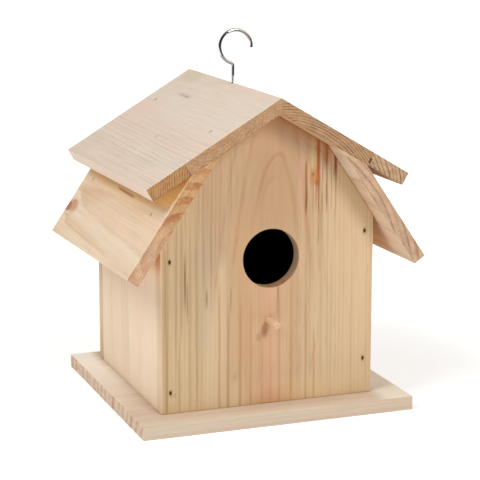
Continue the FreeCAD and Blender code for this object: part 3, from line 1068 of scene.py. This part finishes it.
def plated_steel():
    """Bright plating with faint drawing marks."""
    n = new_material("plated_steel")
    drawn = n.noise(n.millimetres(), (1.6, 1.6, 0.5), 3)["Fac"]
    grey = n.smooth(drawn, 0.3, 0.7, 0.52, 0.64)
    colour = n.combine(grey, grey, n.product(grey, 1.03))
    roughness = n.smooth(drawn, 0.3, 0.7, 0.07, 0.14)
    return n.surface(colour, roughness, n.bump(drawn, 0.02 * MM, 0.3), metallic=1.0)


def on_arc(x, z, radius, degrees):
    """Point of an arc round (x, z) in the hook's plane."""
    angle = math.radians(degrees)
    return Vector((x + radius * math.cos(angle), HOOK_Y, z + radius * math.sin(angle)))


def wire_line():
    """Middle line of the wire, from the open end of the ring down to the thread."""
    run = -BEND_RADIUS - RING_X
    drop = math.sqrt((RING_RADIUS + BEND_RADIUS) ** 2 - run ** 2)
    lean = math.degrees(math.atan2(drop, -run))
    sweep = 180 + lean - TIP_ANGLE
    ring_steps, bend_steps, shank_steps = 84, 14, 6
    points = []
    for i in range(ring_steps + 1):
        degrees = TIP_ANGLE + sweep * i / ring_steps
        points.append(on_arc(RING_X, RING_Z, RING_RADIUS, degrees))
    for i in range(1, bend_steps + 1):
        degrees = lean * (1 - i / bend_steps)
        points.append(on_arc(-BEND_RADIUS, RING_Z - drop, BEND_RADIUS, degrees))
    bottom = points[-1].z
    for i in range(1, shank_steps + 1):
        points.append(Vector((0, HOOK_Y, bottom + (THREAD_TOP - bottom) * i / shank_steps)))
    return points


def thread_radius(z, angle):
    """Radius of the cut thread at a height and a direction round the screw."""
    crest, flank = 0.08, 0.3  # shares of a turn
    turn = ((THREAD_TOP - z) / THREAD_PITCH - angle / (2 * math.pi)) % 1.0
    cut = min(max((turn - crest) / flank, 0.0), 1.0)
    if turn > 1.0 - flank:
        cut = (1.0 - turn) / flank
    depth = WIRE_RADIUS - THREAD_CREST + cut * (THREAD_CREST - THREAD_ROOT)
    start = min(1.0, (THREAD_TOP - z) / (0.6 * THREAD_PITCH))
    radius = WIRE_RADIUS - depth * start
    point = (z - THREAD_BOTTOM) / POINT_LENGTH
    if point < 1:
        radius = min(radius, POINT_RADIUS + (THREAD_ROOT - POINT_RADIUS) * point)
    return radius


def hook_rings(angles):
    """Sections of the hook from its cut tip to its point: middle, first direction, radii."""
    line = wire_line()
    rings = []
    for i, centre in enumerate(line):
        before = line[max(i - 1, 0)]
        after = line[min(i + 1, len(line) - 1)]
        tangent = (after - before).normalized()
        rings.append((centre, tangent.cross(BACK), [WIRE_RADIUS] * len(angles)))
    tip, out, _ = rings[0]
    ahead = (line[1] - line[0]).normalized()
    for beyond, radius in ((0.0, 1.40), (0.18, 1.22)):
        rings.insert(0, (tip - ahead * beyond, out, [radius] * len(angles)))
    z = THREAD_TOP
    step = THREAD_PITCH / 14
    while z - step > THREAD_BOTTOM:
        z -= step
        radii = [thread_radius(z, angle) for angle in angles]
        rings.append((Vector((0, HOOK_Y, z)), -RIGHT, radii))
    return rings


def make_hook():
    angles = turns(32)
    bm = bmesh.new()
    loops = []
    for centre, out, radii in hook_rings(angles):
        loop = []
        for angle, radius in zip(angles, radii):
            direction = out * math.cos(angle) + BACK * math.sin(angle)
            loop.append(bm.verts.new((centre + direction * radius) * MM))
        loops.append(loop)
    skin(bm, loops)
    hook = make_piece("screw_hook_wire", bm, plated_steel(), "hook")
    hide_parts("screw_hook")


def nail_steel(name, light, dark):
    """Dull steel, stained in spots."""
    n = new_material(name)
    stain = n.noise(n.millimetres(), (2.2, 2.2, 2.2), 3)["Fac"]
    colour = n.mix(n.smooth(stain, 0.35, 0.65), linear(light), linear(dark))
    return n.surface(colour, 0.6, n.bump(stain, 0.05 * MM, 0.5), metallic=0.2, specular=0.2)


def finish_nails():
    dark = nail_steel("dark_nail_steel", (62, 44, 32), (30, 22, 16))
    bright = nail_steel("bright_nail_steel", (158, 132, 112), (96, 74, 58))
    for name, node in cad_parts.items():
        if name.endswith("_nails"):
            node.data.materials.clear()
            node.data.materials.append(bright if "roof" in name else dark)


# ---- stage ----

def make_stage():
    bm = bmesh.new()
    bmesh.ops.create_grid(bm, x_segments=1, y_segments=1, size=30.0)
    mesh = bpy.data.meshes.new("floor")
    bm.to_mesh(mesh)
    bm.free()
    floor = new_object("floor", mesh)
    mesh.materials.append(floor_paper())
    floor.location.z = -0.1 * MM


def floor_paper():
    """White paper that glows; the steel mirrors a darker room before the table."""
    n = new_material("floor")
    place = n.add("ShaderNodeTexCoord").outputs["Object"]
    near, far = 0.16, 0.5  # metres from the middle of the birdhouse
    glow = n.smooth(n.vector("LENGTH", place), near, far, NEAR_GLOW, FAR_GLOW)
    gloss = n.add("ShaderNodeLightPath").outputs["Is Glossy Ray"]
    edge, room_wall = -0.25, -0.9  # metres along y, towards the front
    room = n.smooth(n.separate(place)[1], edge, room_wall, 0.0, 0.95)
    room = n.product(gloss, room)
    glow = n.product(glow, n.minus(1.0, room))
    return n.surface(n.mix(room, PAPER, MIRRORED_ROOM), 0.9, specular=0.0, glow=glow)


def make_light(name, azimuth, elevation, distance, size, power, mirrored):
    """Round soft light that looks at the birdhouse; azimuth 0 is the front, 90 the right."""
    a = math.radians(azimuth)
    e = math.radians(elevation)
    away = Vector((math.sin(a) * math.cos(e), -math.cos(a) * math.cos(e), math.sin(e)))
    data = bpy.data.lights.new(name, "AREA")
    data.shape = "DISK"
    data.size = size
    data.energy = power
    data.color = LAMP_COLOUR
    light = new_object(name, data)
    light.visible_glossy = mirrored
    light.location = VIEW_TARGET + away * distance
    light.rotation_euler = (-away).to_track_quat("-Z", "Y").to_euler()


def make_world():
    """White studio, a little darker on the photographer's side."""
    n = Nodes(bpy.data.worlds.new("studio"))
    bpy.context.scene.world = n.owner
    direction = n.add("ShaderNodeTexCoord").outputs["Generated"]
    front = n.vector("DOT_PRODUCT", direction, FRONT_SIDE)
    walls = n.smooth(front, 0.1, 0.95, WALLS, DARK_SIDE)
    above = n.vector("DOT_PRODUCT", direction, SOFTBOX_SIDE)
    softbox = n.smooth(above, 0.83, 0.92, 0.0, SOFTBOX)
    reflected = n.math("MAXIMUM", softbox, n.smooth(front, 0.0, 0.7, 0.42, 0.02))
    path = n.add("ShaderNodeLightPath")
    seen = path.outputs["Is Camera Ray"]
    gloss = path.outputs["Is Glossy Ray"]
    strength = n.total(walls, n.product(gloss, n.minus(reflected, walls)))
    strength = n.math("MAXIMUM", strength, seen)
    background = n.add("ShaderNodeBackground", {
        "Color": n.mix(seen, WALL_COLOUR, WHITE), "Strength": strength})
    n.add("ShaderNodeOutputWorld", {0: background.outputs[0]})


def make_camera():
    forward = Vector((
        -math.sin(VIEW_AZIMUTH) * math.cos(VIEW_ELEVATION),
        math.cos(VIEW_AZIMUTH) * math.cos(VIEW_ELEVATION),
        -math.sin(VIEW_ELEVATION)))
    data = bpy.data.cameras.new("camera")
    data.lens = LENS
    data.sensor_width = SENSOR
    data.clip_start = 0.05
    data.clip_end = 100
    camera = new_object("camera", data)
    camera.location = VIEW_TARGET - forward * VIEW_DISTANCE
    turn = forward.to_track_quat("-Z", "Y").to_matrix() @ Matrix.Rotation(VIEW_ROLL, 3, "Z")
    camera.rotation_euler = turn.to_euler()
    bpy.context.scene.camera = camera


bpy.context.scene.view_settings.view_transform = "Standard"
make_base()
make_front_panel()
make_back_panel()
make_sides()
make_upper_roof()
make_lower_roof()
make_perch()
make_hook()
finish_nails()
make_stage()
make_world()
make_light("key", 14, 31, 2.2, 0.8, 23, True)
make_light("left", -68, 46, 2.4, 1.2, 32, False)
make_camera()
